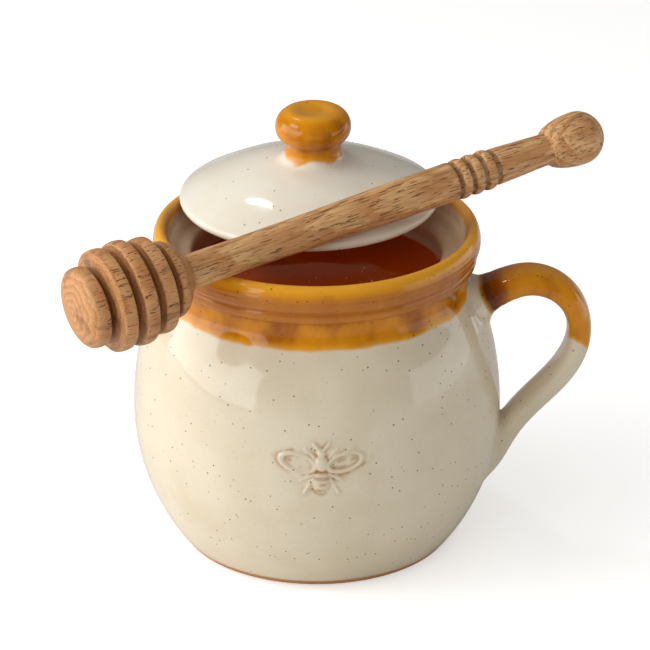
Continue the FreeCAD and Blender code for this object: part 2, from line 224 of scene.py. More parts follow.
BEE_AZIMUTH = math.radians(-88.6)
BEE_Z = 43.0
BEE_SIZE = 1.06
HANDLE_AZIMUTH = 0.0
BELLY_START = 0.8
outside = outside_outline(crowded(BELLY_START, SHOULDER_Z, 130, [(BEE_Z, 11.5, 5.0)]))
profile = np.concatenate([outside, inside])
angles = crowded(-np.pi, np.pi, 365, [(BEE_AZIMUTH, 0.27, 5.0), (HANDLE_AZIMUTH, 0.24, 1.2)])[:-1]
print("profile points", len(profile), "columns", len(angles))

# %% [markdown]
# ## The handle
# The handle is pulled from a lump of clay, so it is a flat strap that narrows to its tail.
# A curve with a bevel would give a round tube of even width. Here a rounded section of
# changing size is carried along a smooth path. The path passes through a few points of the
# handle's side view, and a natural cubic spline joins them without a kink.

# %% Path of the strap
HANDLE_PATH = np.array([(41.0, 68.4), (50.4, 73.9), (59.7, 76.8), (68.0, 74.1), (73.2, 66.5),
                        (73.2, 57.0), (68.3, 47.8), (60.3, 39.0), (53.8, 30.0), (50.3, 22.8),
                        (46.4, 17.8), (42.6, 15.0)])
STRAP_ROWS = 220


def cubic_path(points, count):
    """Natural cubic spline through the points, at even steps of its length."""
    chord = np.concatenate([[0], np.cumsum(np.linalg.norm(np.diff(points, axis=0), axis=1))])
    h = np.diff(chord)
    n = len(points)
    system = np.eye(n)
    right = np.zeros((n, 2))
    for i in range(1, n - 1):
        system[i, i - 1:i + 2] = h[i - 1], 2 * (h[i - 1] + h[i]), h[i]
        right[i] = 6 * ((points[i + 1] - points[i]) / h[i] - (points[i] - points[i - 1]) / h[i - 1])
    bend = np.linalg.solve(system, right)
    fine = np.linspace(0, chord[-1], 2000)
    i = np.clip(np.searchsorted(chord, fine) - 1, 0, n - 2)
    a, b = (chord[i + 1] - fine)[:, None], (fine - chord[i])[:, None]
    hi = h[i][:, None]
    curve = (bend[i] * a ** 3 + bend[i + 1] * b ** 3) / (6 * hi) + \
        (points[i] / hi - bend[i] * hi / 6) * a + (points[i + 1] / hi - bend[i + 1] * hi / 6) * b
    along = np.concatenate([[0], np.cumsum(np.linalg.norm(np.diff(curve, axis=0), axis=1))])
    even = np.linspace(0, along[-1], count)
    return np.stack([np.interp(even, along, curve[:, k]) for k in (0, 1)], axis=-1)


path = cubic_path(HANDLE_PATH, STRAP_ROWS)
print("strap length", round(float(np.sum(np.linalg.norm(np.diff(path, axis=0), axis=1))), 1), "mm")

# %% Sections of the strap
STRAP_HALF_THICK, STRAP_HALF_WIDTH_TOP, STRAP_HALF_WIDTH_END = 3.4, 7.5, 5.2
ROOT_FLARE_THICK, ROOT_FLARE_WIDTH, ROOT_FLARE_SHARE = 3.4, 2.0, 0.065
TAIL_HALF_THICK, TAIL_FROM = 2.7, 0.80
STRAP_SQUARENESS = 2.6
heading = np.gradient(path, axis=0)
heading /= np.linalg.norm(heading, axis=1, keepdims=True)
normal = np.stack([-heading[:, 1], heading[:, 0]], axis=-1)
share = np.linspace(0, 1, STRAP_ROWS)
root = np.exp(-share / ROOT_FLARE_SHARE)
tail = np.clip((share - TAIL_FROM) / (1 - TAIL_FROM), 0, 1)
half_thick = (STRAP_HALF_THICK + ROOT_FLARE_THICK * root
              + (TAIL_HALF_THICK - STRAP_HALF_THICK) * tail)
half_width = (STRAP_HALF_WIDTH_TOP + ROOT_FLARE_WIDTH * root
              + (STRAP_HALF_WIDTH_END - STRAP_HALF_WIDTH_TOP) * share)
print("strap width", round(2 * half_width[0], 1), "mm at the root,", round(2 * half_width[-1], 1), "at the tail")

# %% [markdown]
# A potter smooths wet clay into the corner where handle and belly meet. A Boolean union with
# a bevel often fails on such soft shapes. Instead each of the two skins is lifted a little
# where it comes near the other, so that both run into one rounded corner.

# %% How far a point is from strap and body
def strap_gap(points):
    """Distance from each point to the strap's skin, below 0 inside: the nearest section decides."""
    flat = points.reshape(-1, 3)
    near = np.argmin(np.linalg.norm(flat[:, None, (0, 2)] - path[None], axis=2), axis=1)
    across = np.sum((flat[:, (0, 2)] - path[near]) * normal[near], axis=1)
    beyond = np.abs(np.sum((flat[:, (0, 2)] - path[near]) * heading[near], axis=1))
    radius = np.hypot(across, flat[:, 1]) + 1e-9
    level = (np.abs(across / half_thick[near]) ** STRAP_SQUARENESS
             + np.abs(flat[:, 1] / half_width[near]) ** STRAP_SQUARENESS) ** (1 / STRAP_SQUARENESS)
    return (radius * (1 - 1 / level) + np.maximum(beyond - 0.6, 0)).reshape(points.shape[:-1])


def body_gap(points):
    """Distance from each point to the body's outside, below 0 inside the clay."""
    radius = np.hypot(points[..., 0], points[..., 1])
    z = points[..., 2]
    wall_r, wall_z = outside[len(FOOT):].T
    wall = np.interp(z, wall_z, wall_r)
    lean = np.interp(z + 0.5, wall_z, wall_r) - wall
    return (radius - wall) / np.sqrt(1 + (2 * lean) ** 2)


print("axis to wall at the belly", round(float(body_gap(np.array([0, 0, BELLY_Z]))), 1), "mm")

# %% Rounded corner between two skins
UPPER_CORNER, LOWER_CORNER, CORNER_MOST, CORNER_SPLIT_Z = 4.5, 2.2, 2.6, 50


def corner_reach(height):
    """Reach of the rounded corner: wide at the strap's root, tight at its tail."""
    return np.where(height > CORNER_SPLIT_Z, UPPER_CORNER, LOWER_CORNER)


def blend_out(points, outward, other_gap, reach):
    """Move points along their outward direction on to the smooth union with the other shape.

    The union of gaps a and b is min(a, b) less h squared times reach / 4, where h is how far
    the two are within reach of each other, so the skin rises in a rounded corner."""
    moved = np.zeros(points.shape[:-1])
    for _ in range(8):
        a, b = moved, other_gap(points + outward * moved[..., None])
        h = np.maximum(reach - np.abs(a - b), 0) / reach
        level = np.minimum(a, b) - h * h * reach / 4
        moved = np.clip(moved - 0.8 * level, 0, CORNER_MOST)
    return points + outward * moved[..., None]


print("corner reach", corner_reach(np.array([HANDLE_PATH[0, 1], HANDLE_PATH[-1, 1]])), "mm")

# %% [markdown]
# ## The bee
# A bee is pressed into the front of the belly with a stamp. It could be carved with a brush
# in Sculpt Mode. Here it is a height over the plane of the stamp, because simple forms add
# up to it: ovals give the body, closed loops the wings, and strokes the legs and feelers.

# %% Ovals and strokes
def oval(x, y, centre, half, turn=0.0):
    """How far out a point is, 1 on the oval's edge: root of the squares of its two shares."""
    c, s = math.cos(turn), math.sin(turn)
    u, v = x - centre[0], y - centre[1]
    return np.sqrt(((u * c + v * s) / half[0]) ** 2 + ((v * c - u * s) / half[1]) ** 2)


def dome(level):
    """Rounded top over an oval: 1 in the middle, 0 from the edge out, and steep at the edge."""
    return np.maximum(1 - level ** 2, 0) ** 0.6


def stroke(x, y, start, end, width):
    """Ridge along a straight line: a bell curve of the distance from the line."""
    start, end = np.array(start), np.array(end)
    run = end - start
    t = np.clip(((x - start[0]) * run[0] + (y - start[1]) * run[1]) / (run @ run), 0, 1)
    away = np.hypot(x - start[0] - t * run[0], y - start[1] - t * run[1])
    return np.exp(-(away / width) ** 2)


print("dome half way out", round(float(dome(0.5)), 2))

# %% Relief of the bee
ABDOMEN = (0, -3.2), (2.45, 3.3)
BAND_PITCH, BAND_SHIFT = 1.75, 3.0
STAMP_DEPTH = 0.20
WING = (6.1, 2.2), (4.7, 2.35), 0.30
WING_CELLS = (((4.6, 0.9), (1.9, 0.55), 0.12), ((5.4, 2.7), (1.5, 0.5), 0.35), ((8.1, 2.9), (0.8, 0.55), 0.4))
FEELER_AND_LEGS = ((0.42, (0.5, 5.6), (2.1, 7.4), 0.26), (0.34, (1.9, 3.6), (4.2, 6.0), 0.34),
                   (0.34, (1.8, -0.9), (5.4, -2.9), 0.32), (0.38, (2.1, -2.0), (4.4, -6.2), 0.38))


def bee_bands(y):
    """Bands across the abdomen, 1 on a ridge and 0 in a trough: half a cosine plus a half."""
    return 0.5 + 0.5 * np.cos((y + BAND_SHIFT) * 2 * np.pi / BAND_PITCH)


def bee_relief(x, y):
    """Height of the stamp in millimetres, x to the right and y up, centred between the wings.

    An oval field is sunk. On it a wing is a bell curve of the distance from its oval, less a
    dome for each cell, and strokes are added. Thorax, head and abdomen are domes of their
    ovals, the abdomen times its bands. The higher of field and domes shows."""
    field = np.exp(-np.maximum(oval(x, y, (0, -0.6), (11.0, 7.2)) - 0.55, 0) ** 2 / 0.10)
    height = -STAMP_DEPTH * field
    for side in (-1, 1):
        wing_x = side * x
        wing = oval(wing_x, y, *WING)
        height += 0.46 * np.exp(-((wing - 1) / 0.14) ** 2) + 0.10 * dome(wing / 1.1)
        for cell in WING_CELLS:
            height -= 0.30 * dome(oval(wing_x, y, *cell))
        for rise, start, end, width in FEELER_AND_LEGS:
            height += rise * stroke(wing_x, y, start, end, width)
    thorax = 0.80 * dome(oval(x, y, (0, 1.9), (1.95, 2.3)))
    head = 0.62 * dome(oval(x, y, (0, 4.7), (1.2, 1.1)))
    abdomen = 0.92 * dome(oval(x, y, *ABDOMEN)) * (0.58 + 0.42 * bee_bands(y))
    body = np.maximum(np.maximum(thorax, head), abdomen)
    return np.maximum(height, body - STAMP_DEPTH * field)


print("bee stands", round(float(bee_relief(np.zeros(1), np.full(1, 1.9))[0]), 2), "mm proud at the thorax")

# %% [markdown]
# ## The body's skin
# Thrown clay is never quite round, so a few slow waves go round the wall, and fine ridges
# from the potter's fingers go round the rim. A noise texture as displacement would do it
# too, but would be the same in all directions. Then the stamp is added and the corner at
# the handle is rounded.

# %% Turned grids, waves and softening
def turned(outline, angles):
    """Grid of an outline turned about Z, as the angle, radius and height of each point."""
    angle, radius = np.meshgrid(angles, outline[:, 0])
    return angle, radius, np.repeat(outline[:, 1:], len(angles), axis=1)


def at_angle(angle, radius, height):
    """Points: the radius times cosine and sine of the angle, and the height."""
    return np.stack([radius * np.cos(angle), radius * np.sin(angle), height], axis=-1)


def even_turn(columns):
    """Even steps once round, without the last, which would be the first again."""
    return np.linspace(0, 2 * np.pi, columns + 1)[:-1]


def wavy(angle, seed, waves, size):
    """Slow unevenness round a ring: a few seeded sine waves that add up to the size."""
    draw = np.random.default_rng(seed)
    parts = [np.sin(k * angle + draw.uniform(0, 2 * np.pi)) / k ** 0.7 for k in waves]
    return size * sum(parts) / len(parts)


def softened(values, passes):
    """Blur over the grid: each pass averages a point with its four neighbours."""
    for _ in range(passes):
        padded = np.pad(values, 1, mode="edge")
        values = (padded[1:-1, 1:-1] * 2 + padded[:-2, 1:-1] + padded[2:, 1:-1]
                  + padded[1:-1, :-2] + padded[1:-1, 2:]) / 6
    return values


print("wall is uneven by about", round(float(np.ptp(wavy(angles, 3, (2, 3, 5), 0.16))), 2), "mm")

# %% Uneven wall
RING_PITCH, RING_DEPTH, RING_FROM_Z, RING_TO_Z = 1.45, 0.07, 87.0, 92.0
theta, radius, height = turned(profile, angles)
is_outside = (np.arange(len(profile)) < len(outside))[:, None]
off_foot = np.clip((height - 4) / 40, 0, 1)
radius = radius + off_foot * wavy(theta, 3, (2, 3, 5), 0.16) * (radius > 30)
on_rim = np.clip(height - RING_FROM_Z, 0, 1) * np.clip((RING_TO_Z - height) / 1.5, 0, 1) * is_outside
radius = radius + on_rim * RING_DEPTH * np.sin(2 * np.pi * height / RING_PITCH)
near_top = np.clip((height - 80) / 10, 0, 1) * (radius > 38) * np.where(height > RIM_TOP - 0.9, 0.4, 1)
height = height + near_top * wavy(theta, 4, (2, 3), 0.18)
print("rim height", round(float(height.max()), 2), "mm")

# %% Stamp on the belly
STAMP_HALF_WIDE, STAMP_HALF_HIGH = 16, 13
bee_x = (theta - BEE_AZIMUTH) * BELLY_R
bee_y = height - BEE_Z
near_bee = (np.abs(bee_x) < STAMP_HALF_WIDE) & (np.abs(bee_y) < STAMP_HALF_HIGH) & is_outside
bee_x, bee_y = bee_x / BEE_SIZE, bee_y / BEE_SIZE
relief = np.where(near_bee, softened(np.where(near_bee, bee_relief(bee_x, bee_y), 0), 2), 0)
radius = radius + relief
body = at_angle(theta, radius, height)
print("stamp from", round(float(relief.min()), 2), "to", round(float(relief.max()), 2), "mm")

# %% Corner round the handle
ROOT_LOW_Z, ROOT_HIGH_Z, ROOT_HALF_TURN = 8, 80, 0.5
outward = at_angle(theta, 1.0, 0 * theta)
rooted = is_outside & (np.abs(theta) < ROOT_HALF_TURN) & (height > ROOT_LOW_Z) & (height < ROOT_HIGH_Z)
gap_to_strap = np.full(theta.shape, 99.0)
gap_to_strap[rooted] = strap_gap(body[rooted])
body[rooted] = blend_out(body[rooted], outward[rooted], strap_gap, corner_reach(height[rooted]))
print("points near the handle", int(rooted.sum()))

# %% [markdown]
# The rim is dipped in amber glaze, whose lower edge rises a little round the handle's root.
# Wet glaze pulls off sharp crests and gathers in hollows and under the bee's edges, and the
# foot is wiped bare, or it would stick to the kiln. The pale crests and dark hollows are also
# painted highlight and painted shade, the tan round the bee is also painted shade, and under
# the rim a browner band is painted reflection of the pale table. A mask could be painted for
# each. The sums below give them from the shape itself: heights over a wavy line, and the
# outline's bend.

# %% Where the glazes lie on the body
GLAZE_LINE_Z, INNER_LINE_Z, BARE_TOP_Z = 75.0, 91.4, 2.5
# Heights of the band under the rim that gets a painted reflection of the pale table.
REFLECTION_BAND_FROM_Z, REFLECTION_BAND_TO_Z = 81.8, 91.8
LINE_RISE, LINE_RISE_REACH = 7.0, 3.5
rise = LINE_RISE * np.exp(-(np.maximum(gap_to_strap, 0) / LINE_RISE_REACH) ** 2)
line = GLAZE_LINE_Z + wavy(theta, 11, (1, 2, 5, 9), 0.5) + rise
dip = np.where(is_outside, height - line, height - INNER_LINE_Z - wavy(theta, 12, (3, 7, 13), 0.5))
bare = np.clip(BARE_TOP_Z + wavy(theta, 13, (3, 8, 17), 0.3) - height, -1, 1) * is_outside
# Mask of the band under the rim with the painted reflection of the pale table.
collar = np.clip((height - REFLECTION_BAND_FROM_Z) / 1.4, 0, 1) * np.clip((REFLECTION_BAND_TO_Z - height) / 2.2, 0, 1) * is_outside
# Tan round the bee's relief and in the troughs of its stripes: gathered glaze, and also painted shade that deepens
# the stamp.
pooled = np.where(near_bee, np.clip((softened(relief, 26) - relief) / 0.11, 0, 1), 0)
on_abdomen = near_bee & (oval(bee_x, bee_y, *ABDOMEN) < 0.92)
stripes = softened(np.where(on_abdomen, 1 - bee_bands(bee_y), 0), 2)
pooled = np.maximum(pooled, 0.8 * stripes)
print("share of points under amber", round(float((dip > 0).mean()), 2))


# %% Crests and hollows of the outline
def outline_bend(outline):
    """Above 0 on a crest and below 0 in a hollow: how far the outline's smoothed copy lies to its
    inner side, as the cross product of the outline's direction and the step to the copy."""
    arc = np.concatenate([[0], np.cumsum(np.linalg.norm(np.diff(outline, axis=0), axis=1))])
    even = np.linspace(0, arc[-1], 2400)
    bell = np.hanning(81) / np.hanning(81).sum()
    padded = [np.pad(np.interp(even, arc, part), 40, mode="edge") for part in outline.T]
    smooth = [np.interp(arc, even, np.convolve(part, bell, "valid")) for part in padded]
    away = np.stack(smooth, axis=-1) - outline
    tangent = np.gradient(outline, arc, axis=0)
    return -(away[:, 0] * tangent[:, 1] - away[:, 1] * tangent[:, 0])


# Crest value, above 0 on crests and below 0 in hollows: thin and gathered glaze, and also painted highlight and
# painted shade.
crest = np.repeat(np.clip(outline_bend(profile) / 0.5, -1, 1)[:, None], len(angles), axis=1)
pot_body = grid_piece("pot_body", body * MM, (np.array([0, 0, 0]), np.array([0, 0, FLOOR_Z]) * MM),
                      {"dip": dip, "pooled": pooled, "bare": bare, "crest": crest, "collar": collar})

# %% [markdown]
# ## The strap's skin
# A pulled strap is an oval with flattened sides. A superellipse gives that with one number
# for its squareness. Two fine ring marks at the root are left by the fingers that pressed it
# on. The amber dip ends half way down, a little lower on the outer side. It is dark at the
# root, as gathered glaze and as painted shade where strap and belly meet, and its narrow edges
# are paler, as thin glaze and painted highlight.

# %% Skin of the strap
turn = even_turn(96)
across = np.sign(np.cos(turn)) * np.abs(np.cos(turn)) ** (2 / STRAP_SQUARENESS)
sideways = np.sign(np.sin(turn)) * np.abs(np.sin(turn)) ** (2 / STRAP_SQUARENESS)
finger_marks = 1 - sum(0.02 * np.exp(-((share - at) / 0.006) ** 2) for at in (0.075, 0.105))
strap = np.zeros((STRAP_ROWS, len(turn), 3))
thick_out = (finger_marks * half_thick)[:, None] * across[None]
strap[..., (0, 2)] = path[:, None] + normal[:, None] * thick_out[..., None]
strap[..., 1] = (finger_marks * half_width)[:, None] * sideways[None]
strap[..., 1] += 0.12 * wavy(share[:, None] * 9, 21, (2, 3, 5), 1.0)
print("strap reaches", round(float(strap[..., 0].max()), 1), "mm from the axis")

# %% Corner at the strap's ends
along_strap = np.gradient(strap, axis=0)
round_strap = np.gradient(np.concatenate([strap[:, -1:], strap, strap[:, :1]], axis=1), axis=1)[:, 1:-1]
strap_out = np.cross(along_strap, round_strap)
strap_out /= np.linalg.norm(strap_out, axis=2, keepdims=True) + 1e-12
spine = np.stack([path[:, 0], 0 * share, path[:, 1]], axis=-1)
strap_out *= np.sign(np.sum(strap_out * (strap - spine[:, None]), axis=2))[..., None]
to_body = body_gap(strap)
strap = blend_out(strap, strap_out, lambda points: np.maximum(body_gap(points), -0.4), corner_reach(strap[..., 2]))
print("strap rows inside the clay", int((to_body.max(axis=1) < 0).sum()))

# %% Where the glazes lie on the strap
HANDLE_LINE_Z, OUTER_LOWER, ROOT_CLEAR, CREAM_FROM_SHARE = 60.5, 4.0, 2.2, 0.55
ROOT_DARK, ROOT_DARK_AT, ROOT_DARK_WIDTH = 3.0, 0.07, 0.06
handle_line = HANDLE_LINE_Z - OUTER_LOWER * np.clip(across, 0, 1) + wavy(3 * turn, 22, (1, 2, 3), 0.8)
strap_dip = np.minimum(strap[..., 2] - handle_line, (to_body - ROOT_CLEAR) * 1.2)
strap_dip = np.where((share[:, None] > CREAM_FROM_SHARE) & (strap_dip > -3), -3, strap_dip)
root_pool_and_shade = ROOT_DARK * np.exp(-((share - ROOT_DARK_AT) / ROOT_DARK_WIDTH) ** 2)
# Pale narrow edges and a dark root: thin and gathered glaze, and also painted highlight on the edges and painted
# shade where strap and belly meet.
strap_flow_and_shading = 0.3 * np.abs(across) - root_pool_and_shade[:, None]
strap_values = {"dip": strap_dip, "pooled": 0 * strap_dip, "bare": 0 * strap_dip - 1, "crest": strap_flow_and_shading}
pot_handle = grid_piece("pot_handle", strap[:, ::-1] * MM, (spine[0] * MM, spine[-1] * MM),
                        {key: value[:, ::-1] for key, value in strap_values.items()})

# %% [markdown]
# ## The lid
# The lid is thrown too: a shallow dome with a rounded lip, and a knob with a waist and a
# thumb's dimple. It is one outline again, turned about the lid's own axis. It lies drawn
# back on the rim with its back edge a little up, so its points are worked out level first
# and then put in place by two small turns and a shift.

# %% Sizes of the lid, in millimetres
LID_R, LIP_HALF, DOME_TOP, DOME_THICK = 36.7, 1.5, 12.6, 3.4
KNOB_BASE_R, KNOB_WAIST_R, KNOB_WAIST_Z = 8.7, 7.9, 14.6
KNOB_R, KNOB_Z, KNOB_TOP = 10.65, 21.0, 26.0
DIMPLE_R, DIMPLE_DEPTH = 5.4, 0.7
KNOB_OFF_CENTRE = 1.2
UNDER_TOP = DOME_TOP - DOME_THICK - 0.6
LIP_R = LID_R - LIP_HALF
LIP_TURN = math.radians(62)
LID_AT = np.array([-2.0, 16.6, 95.56])
LID_TIP_BACK, LID_ROLL = math.radians(1.0), math.radians(-0.5)
print("lid", 2 * LID_R, "mm across and", KNOB_TOP + LIP_HALF, "high")


# %% Outline of the lid
def dome_outline():
    """Outline (radius, height) from the middle of the underside, round the lip and up to the top."""
    lip_turn = np.linspace(-np.pi / 2, LIP_TURN, 12)[1:]
    lip_end = np.array([LIP_R + LIP_HALF * math.cos(LIP_TURN), LIP_HALF * math.sin(LIP_TURN)])
    toward = np.array([-math.sin(LIP_TURN), math.cos(LIP_TURN)])
    return np.concatenate([
        bezier([(0, UNDER_TOP), (18, UNDER_TOP), (30.5, -LIP_HALF + 2.2), (LIP_R - 2.0, -LIP_HALF)], 20)[1:],
        [(LIP_R, -LIP_HALF)],
        np.stack([LIP_R + LIP_HALF * np.cos(lip_turn), LIP_HALF * np.sin(lip_turn)], axis=-1),
        bezier([lip_end, lip_end + toward * 9.0, (17.0, DOME_TOP - 1.0), (0, DOME_TOP)], 64)[1:]])


def knob_outline(start):
    """Outline (radius, height) of the knob, from its fillet on the dome to the floor of its dimple."""
    return np.concatenate([
        bezier([start, (KNOB_BASE_R + 0.5, start[1] + 0.35), (KNOB_BASE_R - 0.1, start[1] + 0.7),
                (KNOB_WAIST_R, KNOB_WAIST_Z - 1.2), (KNOB_WAIST_R, KNOB_WAIST_Z)], 18)[1:],
        bezier([(KNOB_WAIST_R, KNOB_WAIST_Z), (KNOB_WAIST_R, KNOB_WAIST_Z + 2.8),
                (KNOB_R, KNOB_Z - 3.6), (KNOB_R, KNOB_Z)], 18)[1:],
        bezier([(KNOB_R, KNOB_Z), (KNOB_R, KNOB_Z + 3.0), (DIMPLE_R + 3.0, KNOB_TOP),
                (DIMPLE_R + 0.6, KNOB_TOP)], 18)[1:],
        bezier([(DIMPLE_R + 0.6, KNOB_TOP), (DIMPLE_R - 1.2, KNOB_TOP),
                (DIMPLE_R - 1.4, KNOB_TOP - DIMPLE_DEPTH), (0.4, KNOB_TOP - DIMPLE_DEPTH)], 14)[1:]])


whole_dome = dome_outline()
dome_end = np.argmin(np.abs(whole_dome[:, 0] - (KNOB_BASE_R + 1.8)) + 99 * (whole_dome[:, 1] < 8))
lid_profile = np.concatenate([whole_dome[:dome_end + 1], knob_outline(whole_dome[dome_end])])
print("lid profile points", len(lid_profile), "knob starts at", whole_dome[dome_end].round(2))


# %% Place of the lid
def turned_about(points, axis, angle):
    """Points turned about the X, Y or Z axis through the origin."""
    c, s = math.cos(angle), math.sin(angle)
    spin = {"x": [[1, 0, 0], [0, c, -s], [0, s, c]], "y": [[c, 0, s], [0, 1, 0], [-s, 0, c]],
            "z": [[c, -s, 0], [s, c, 0], [0, 0, 1]]}[axis]
    return points @ np.array(spin).T


def place_lid(points):
    """From the lid's own frame to its place on the rim."""
    return turned_about(turned_about(points, "x", LID_TIP_BACK), "y", LID_ROLL) + LID_AT


print("top of the knob", place_lid(np.array([0, 0, KNOB_TOP])).round(2), "mm")

# %% Skin and glaze of the lid
phi, lid_r, lid_z = turned(lid_profile, even_turn(240))
LIP_ROW = 40
on_top = (np.arange(len(lid_profile)) > LIP_ROW)[:, None]
lid_r = lid_r * (1 + wavy(phi, 31, (2, 3, 5), 0.003))
knob_share = np.clip((lid_z - DOME_TOP + 2.5) / 3, 0, 1) * on_top
lid_points = at_angle(phi, lid_r, lid_z)
lid_points[..., 0] += KNOB_OFF_CENTRE * knob_share
drips = 0.30 * np.sin(4 * phi + 1.0) + 0.22 * np.sin(7 * phi) + 0.16 * np.sin(11 * phi + 2)
lid_dip = np.where(on_top, lid_z - (DOME_TOP + 0.2) - drips, -5.0)
# On the amber knob the top is paler and the waist darker: thin and gathered glaze, and also painted highlight and
# painted shade.
lip_crest = 0.8 * np.exp(-((lid_profile[:, 0] - LID_R) / 1.6) ** 2)
knob_top_crest_and_sheen = 0.5 * np.exp(-((lid_profile[:, 1] - KNOB_TOP) / 1.0) ** 2)
waist = 0.6 * np.exp(-((lid_profile[:, 1] - KNOB_WAIST_Z - 2.5) / 2.0) ** 2) * (lid_profile[:, 0] < 11)
lid_flow_and_shading = np.repeat((lip_crest + knob_top_crest_and_sheen - waist)[:, None], phi.shape[1], axis=1)
lid_poles = [(0, 0, UNDER_TOP), (KNOB_OFF_CENTRE, 0, KNOB_TOP - DIMPLE_DEPTH)]
lid = grid_piece("lid_dome", place_lid(lid_points) * MM, place_lid(np.array(lid_poles)) * MM,
                 {"dip": lid_dip, "pooled": 0 * lid_dip, "bare": 0 * lid_dip - 1, "crest": lid_flow_and_shading})

# %% [markdown]
# ## The honey
# Honey fills the pot to just under the ledge. A flat disc would look like a painted floor,
# because a thick liquid climbs a little where it wets the wall. So the skin ends in a small
# curve, and the body of the honey reaches just into the wall, which leaves no gap of air.

# %% The filling
MENISCUS, MENISCUS_REACH = 0.6, 1.6
HONEY_FLOOR_Z = 6.1
HONEY_WALL = [(12, HONEY_FLOOR_Z), (27, HONEY_FLOOR_Z), (36, 9.2), (43.9, 24), (46.9, 39), (45.9, 55), (37.9, 70)]
flat_r, wet_r = THROAT_WALL_R - MENISCUS_REACH, THROAT_WALL_R - 0.02
honey_profile = np.concatenate([
    np.array(HONEY_WALL + [(wet_r, HONEY_Z - 2)]),
    bezier([(wet_r, HONEY_Z + MENISCUS), (THROAT_WALL_R - 0.4, HONEY_Z), (flat_r, HONEY_Z)], 10),
    np.linspace((flat_r, HONEY_Z), (2, HONEY_Z), 18)[1:]])
honey_poles = np.array([(0, 0, HONEY_FLOOR_Z), (0, 0, HONEY_Z)])
honey = grid_piece("honey_fill", at_angle(*turned(honey_profile, even_turn(192))) * MM, honey_poles * MM)

# %% [markdown]
# A few small bubbles rise and stop in the honey's skin. Particles could scatter them, but
# they are lost on the way to other programs. One coarse ball, copied by sums to seeded
# places, gives a light mesh that stays.

# %% The bubbles
BUBBLES = 9
draw = np.random.default_rng(7)
bubble_at = np.stack([draw.uniform(-8, 18, BUBBLES), draw.uniform(-9, 4, BUBBLES),
                      np.full(BUBBLES, HONEY_Z - 0.05)], axis=-1)
bubble_r = draw.uniform(0.14, 0.32, BUBBLES)
rise = np.linspace(0.25, np.pi - 0.25, 5)
ball = at_angle(*turned(np.stack([np.sin(rise), -np.cos(rise)], axis=-1), even_turn(8)))
ball_points = np.concatenate([ball.reshape(-1, 3), [[0, 0, -1], [0, 0, 1]]])
all_points = ball_points * bubble_r[:, None, None] + bubble_at[:, None]
first_point = np.arange(BUBBLES)[:, None, None] * len(ball_points)
ball_quads, ball_fans = grid_faces(*ball.shape[:2])
bubbles = mesh_piece("honey_bubbles", all_points.reshape(-1, 3) * MM,
                     (ball_quads + first_point).reshape(-1, 4), (ball_fans + first_point).reshape(-1, 3))

# %% [markdown]
# ## The dipper
# The dipper is turned on a lathe from one stick of wood, so it is one outline round one
# axis. Its head has five rounded discs with tapered grooves that hold the honey, then a
# tapering rod with three beads, and a knob to grip. A loop over the discs builds the head
# from a few named sizes, so that a change of pitch moves them all.

# %% Sizes of the dipper, in millimetres from its tip
DISC_RADII = (10.95, 14.0, 14.3, 13.2, 10.6)
TIP_DISC_END, DISC_PITCH, DISC_THICK, DISC_EDGE, DISC_BULGE = 6.05, 6.36, 3.9, 0.7, 0.15
GROOVE_FLOOR_R, GROOVE_SLOPE, TIP_DOME = 6.6, 0.7, 3.0
ROD_R_HEAD, ROD_R_COLLAR, ROD_START = 4.85, 5.5, 34.35
COLLAR_START, COLLAR_BEADS, COLLAR_PITCH = 118.75, 3, 4.15
COLLAR_R, COLLAR_GROOVE_R, COLLAR_CUT = 5.7, 4.8, 0.9
COLLAR_END = COLLAR_START + COLLAR_BEADS * COLLAR_PITCH
GRIP_NECK_R, GRIP_NECK_AT, GRIP_R, GRIP_LENGTH, GRIP_WIDEST = 4.5, 149.55, 7.6, 18.3, 0.6
DIPPER_AT = np.array([-34.68, -42.16, 97.40])
DIPPER_YAW, DIPPER_PITCH = math.radians(30.41), math.radians(6.06)
print("dipper", round(GRIP_NECK_AT + GRIP_LENGTH, 1), "mm long, head", 2 * max(DISC_RADII), "mm across")


# %% Outline of the head
def head_outline():
    """Outline (radius, distance from the tip): each disc's edge, then the groove behind it."""
    first, last = DISC_RADII[0], DISC_RADII[-1]
    runs = [bezier([(0, 0), (first * 0.55, 0.1), (first - 0.6, TIP_DOME - 2.2), (first, TIP_DOME)], 26)[1:]]
    low = TIP_DOME
    for i, after in enumerate(DISC_RADII[1:]):
        radius, end = DISC_RADII[i], TIP_DISC_END + i * DISC_PITCH
        start = end + DISC_PITCH - DISC_THICK
        swell = (radius + 2 * DISC_BULGE, (low + end - DISC_EDGE) / 2)
        runs += [bezier([(radius, low), swell, (radius, end - DISC_EDGE)], 8)[1:],
                 bezier([(radius, end - DISC_EDGE), (radius, end), (radius - DISC_EDGE, end)], 7)[1:],
                 np.linspace((radius - DISC_EDGE, end), (GROOVE_FLOOR_R, end + GROOVE_SLOPE), 12)[1:],
                 np.linspace((GROOVE_FLOOR_R, end + GROOVE_SLOPE), (GROOVE_FLOOR_R, start - GROOVE_SLOPE), 4)[1:],
                 np.linspace((GROOVE_FLOOR_R, start - GROOVE_SLOPE), (after - DISC_EDGE, start), 12)[1:],
                 bezier([(after - DISC_EDGE, start), (after, start), (after, start + DISC_EDGE)], 7)[1:]]
        low = start + DISC_EDGE
    runs.append(bezier([(last, low), (last, low + 2.6), (ROD_R_HEAD + 1.5, ROD_START - 1.5),
                        (ROD_R_HEAD, ROD_START)], 26)[1:])
    return runs


print("head outline runs", len(head_outline()))


